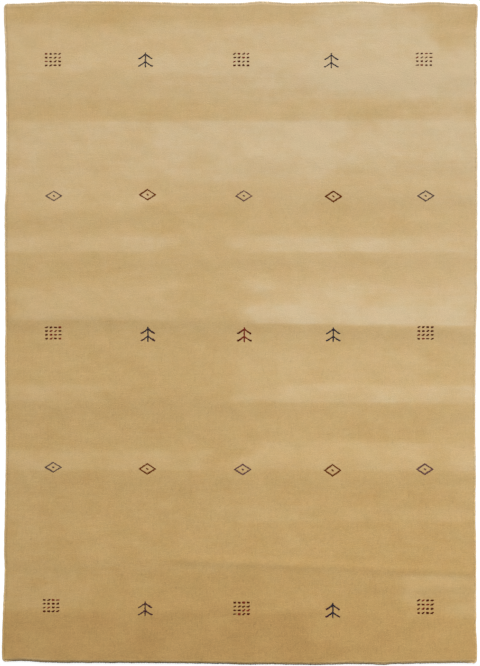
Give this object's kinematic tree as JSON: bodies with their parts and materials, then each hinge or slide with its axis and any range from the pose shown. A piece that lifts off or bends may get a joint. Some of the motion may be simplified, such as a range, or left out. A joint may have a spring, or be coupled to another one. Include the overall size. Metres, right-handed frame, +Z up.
{
  "type": "knotted wool rug",
  "caption": "Flat rectangular hand-knotted wool rug with overcast side cords, bound ends and small woven motifs on a plain sand ground.",
  "frame": {"origin": "on the floor, under the middle of the rug's box", "axes": "+Z up through the pile, +Y along the length towards the head end, +X across the width"},
  "size_m": [1.7, 2.3728, 0.0186],
  "materials": {
    "pile_wool": "short clipped wool pile, matte with a faint sheen",
    "cord_wool": "overcast wool yarn, matte",
    "binding_wool": "overcast wool yarn, matte"
  },
  "bodies": {
    "root": {"knotted_field": "pile_wool", "side_cord_left": "cord_wool", "side_cord_right": "cord_wool", "end_binding_head": "binding_wool", "end_binding_foot": "binding_wool"}
  },
  "joints": []
}
